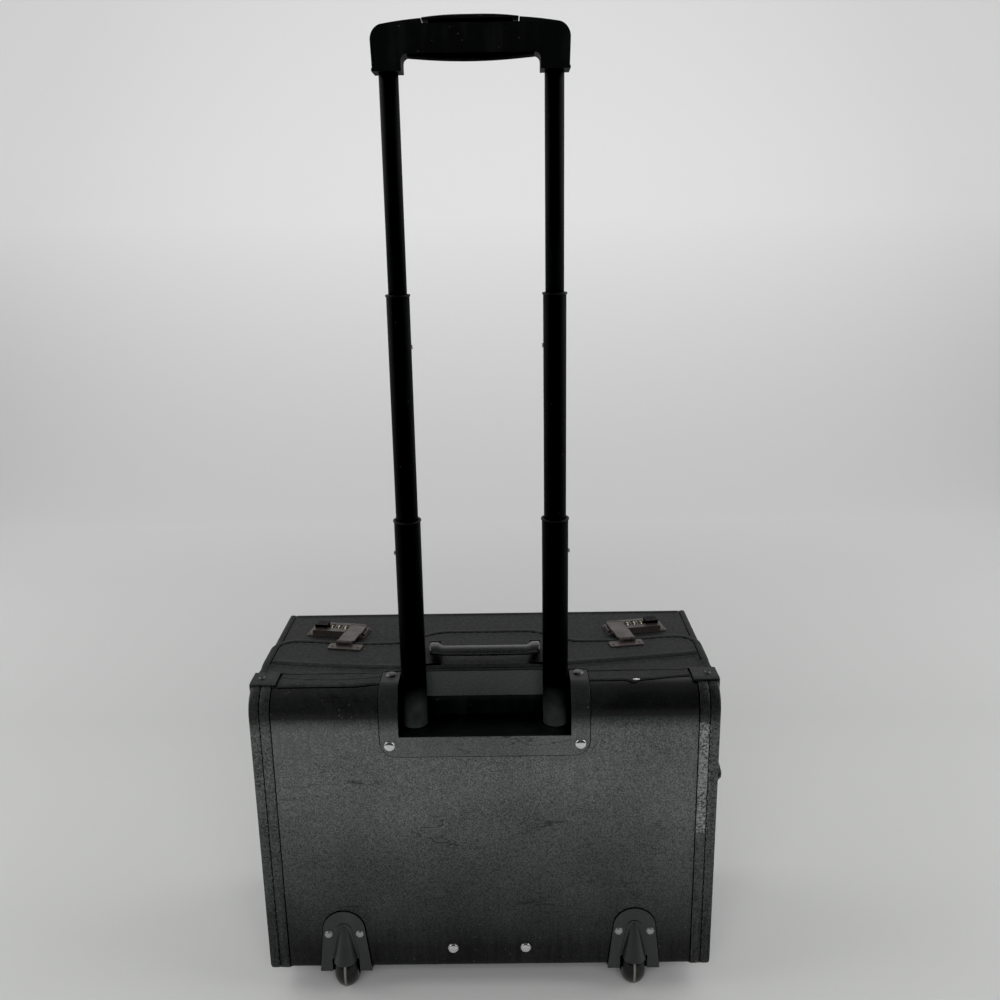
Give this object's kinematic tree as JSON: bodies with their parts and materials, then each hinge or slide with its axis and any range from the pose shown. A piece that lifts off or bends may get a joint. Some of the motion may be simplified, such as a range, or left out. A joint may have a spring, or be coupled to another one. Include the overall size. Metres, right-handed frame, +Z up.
{
  "type": "rolling briefcase",
  "caption": "Black leatherette rolling case with a two part top, combination locks, telescopic pull handle, carry handle and rear wheels.",
  "frame": {"origin": "on the floor, under the middle of the case's width, halfway from the wheel hoods to the front face", "axes": "+X across the case, +Y from the wheel side to the front, +Z up"},
  "size_m": [0.4649, 0.2192, 0.9398],
  "materials": {
    "leatherette": "black grained leatherette",
    "binding": "black leatherette strip",
    "cloth": "black lining cloth",
    "plastic": "satin black plastic",
    "tube": "satin black paint",
    "chrome": "polished",
    "gunmetal": "dark bronze plating",
    "brass": "worn brass",
    "wheel": "dusty black moulding"
  },
  "bodies": {
    "case": {"shell_wrap": "leatherette", "side_panel_left": "leatherette", "side_panel_right": "leatherette", "edge_binding_left": "binding", "edge_binding_right": "binding", "partition_board": "leatherette", "lining": "cloth", "handle_tray": "plastic", "recess_trim": "binding", "chrome_rivets": "chrome", "corner_tab_left": "plastic", "corner_tab_right": "plastic", "corner_tab_rivets": "gunmetal", "hinge_band": "binding", "end_tab": "binding", "channel_left": "tube", "channel_right": "tube", "lower_bracket": "plastic", "wheel_housing_left": "plastic", "wheel_housing_right": "plastic", "housing_rivets": "chrome", "wheel_axles": "chrome", "front_feet": "plastic"},
    "low_stage": {"low_tube_left": "tube", "low_tube_right": "tube", "low_collars": "plastic"},
    "mid_stage": {"mid_tube_left": "tube", "mid_tube_right": "tube", "mid_collars": "plastic"},
    "top_stage": {"top_tube_left": "tube", "top_tube_right": "tube", "pull_grip": "plastic"},
    "release": {"release_button": "plastic", "release_rods": "chrome"},
    "low_button_left": {"low_pin_left": "chrome"},
    "low_button_right": {"low_pin_right": "chrome"},
    "mid_button_left": {"mid_pin_left": "chrome"},
    "mid_button_right": {"mid_pin_right": "chrome"},
    "flap": {"rear_flap": "leatherette", "flap_bead": "binding", "carry_brackets": "plastic", "hasp_bases": "gunmetal"},
    "carry": {"carry_handle": "plastic"},
    "lid": {"front_lid": "leatherette", "lock_body_left": "gunmetal", "lock_body_right": "gunmetal"},
    "hasp_l": {"hasp_left": "gunmetal"},
    "hasp_r": {"hasp_right": "gunmetal"},
    "slider_l": {"lock_slider_left": "plastic"},
    "slider_r": {"lock_slider_right": "plastic"},
    "wheel_l": {"wheel_left": "wheel"},
    "wheel_r": {"wheel_right": "wheel"},
    "dial_l1": {"dial_left_1": "brass"},
    "dial_l2": {"dial_left_2": "brass"},
    "dial_l3": {"dial_left_3": "brass"},
    "dial_r1": {"dial_right_1": "brass"},
    "dial_r2": {"dial_right_2": "brass"},
    "dial_r3": {"dial_right_3": "brass"}
  },
  "joints": [
    {"name": "low_stage_slide", "type": "slide", "parent": "case", "child": "low_stage", "axis": [0, 0, 1], "range_m": [-0.2095, 0]},
    {"name": "mid_stage_slide", "type": "slide", "parent": "low_stage", "child": "mid_stage", "axis": [0, 0, 1], "range_m": [-0.2065, 0]},
    {"name": "top_stage_slide", "type": "slide", "parent": "mid_stage", "child": "top_stage", "axis": [0, 0, 1], "range_m": [-0.1825, 0]},
    {"name": "release_press", "type": "slide", "parent": "top_stage", "child": "release", "axis": [0, 0, -1], "range_m": [0, 0.0025], "stiffness_N_per_m": 1500, "springref_m": -0.001},
    {"name": "mid_button_left_press", "type": "slide", "parent": "mid_stage", "child": "mid_button_left", "axis": [-1, 0, 0], "range_m": [0, 0.00135]},
    {"name": "low_button_left_press", "type": "slide", "parent": "low_stage", "child": "low_button_left", "axis": [1, 0, 0], "range_m": [0, 0.0013]},
    {"name": "mid_button_right_press", "type": "slide", "parent": "mid_stage", "child": "mid_button_right", "axis": [1, 0, 0], "range_m": [0, 0.00135]},
    {"name": "low_button_right_press", "type": "slide", "parent": "low_stage", "child": "low_button_right", "axis": [-1, 0, 0], "range_m": [0, 0.0013]},
    {"name": "flap_hinge", "type": "hinge", "parent": "case", "child": "flap", "pos_m": [0, -0.0421, 0.3405], "axis": [1, 0, 0], "range_deg": [0, 90]},
    {"name": "lid_hinge", "type": "hinge", "parent": "case", "child": "lid", "pos_m": [0, 0.1084, 0.337], "axis": [-1, 0, 0], "range_deg": [0, 45]},
    {"name": "carry_handle_swing", "type": "hinge", "parent": "flap", "child": "carry", "pos_m": [0, -0.0071, 0.3503], "axis": [-1, 0, 0], "range_deg": [0, 150]},
    {"name": "hasp_left_hinge", "type": "hinge", "parent": "flap", "child": "hasp_l", "pos_m": [-0.1501, 0.01198, 0.3464], "axis": [0.9848, -0.1736, 0], "range_deg": [0, 100]},
    {"name": "lock_slider_left", "type": "slide", "parent": "lid", "child": "slider_l", "axis": [-0.9848, 0.1736, 0], "range_m": [0, 0.003], "stiffness_N_per_m": 400, "springref_m": -0.001},
    {"name": "dial_left_1_turn", "type": "hinge", "parent": "lid", "child": "dial_l1", "pos_m": [-0.17031, 0.05921, 0.3414], "axis": [-0.9848, 0.1736, 0], "continuous": true},
    {"name": "dial_left_2_turn", "type": "hinge", "parent": "lid", "child": "dial_l2", "pos_m": [-0.16283, 0.05788, 0.3414], "axis": [-0.9848, 0.1736, 0], "continuous": true},
    {"name": "dial_left_3_turn", "type": "hinge", "parent": "lid", "child": "dial_l3", "pos_m": [-0.15534, 0.05656, 0.3414], "axis": [-0.9848, 0.1736, 0], "continuous": true},
    {"name": "wheel_left_spin", "type": "hinge", "parent": "case", "child": "wheel_l", "pos_m": [-0.1495, -0.0826, 0.024], "axis": [1, 0, 0], "continuous": true},
    {"name": "hasp_right_hinge", "type": "hinge", "parent": "flap", "child": "hasp_r", "pos_m": [0.1501, 0.01198, 0.3464], "axis": [0.9848, 0.1736, 0], "range_deg": [0, 100]},
    {"name": "lock_slider_right", "type": "slide", "parent": "lid", "child": "slider_r", "axis": [0.9848, 0.1736, 0], "range_m": [0, 0.003], "stiffness_N_per_m": 400, "springref_m": -0.001},
    {"name": "dial_right_1_turn", "type": "hinge", "parent": "lid", "child": "dial_r1", "pos_m": [0.17031, 0.05921, 0.3414], "axis": [0.9848, 0.1736, 0], "continuous": true},
    {"name": "dial_right_2_turn", "type": "hinge", "parent": "lid", "child": "dial_r2", "pos_m": [0.16283, 0.05788, 0.3414], "axis": [0.9848, 0.1736, 0], "continuous": true},
    {"name": "dial_right_3_turn", "type": "hinge", "parent": "lid", "child": "dial_r3", "pos_m": [0.15534, 0.05656, 0.3414], "axis": [0.9848, 0.1736, 0], "continuous": true},
    {"name": "wheel_right_spin", "type": "hinge", "parent": "case", "child": "wheel_r", "pos_m": [0.1495, -0.0826, 0.024], "axis": [1, 0, 0], "continuous": true}
  ],
  "couplings": [
    {"joint": "lid_hinge", "follows": "flap_hinge", "ratio": 0.5},
    {"joint": "mid_button_left_press", "follows": "mid_stage_slide", "ratio": -0.006538},
    {"joint": "low_button_left_press", "follows": "low_stage_slide", "ratio": -0.006205},
    {"joint": "mid_button_right_press", "follows": "mid_stage_slide", "ratio": -0.006538},
    {"joint": "low_button_right_press", "follows": "low_stage_slide", "ratio": -0.006205}
  ]
}
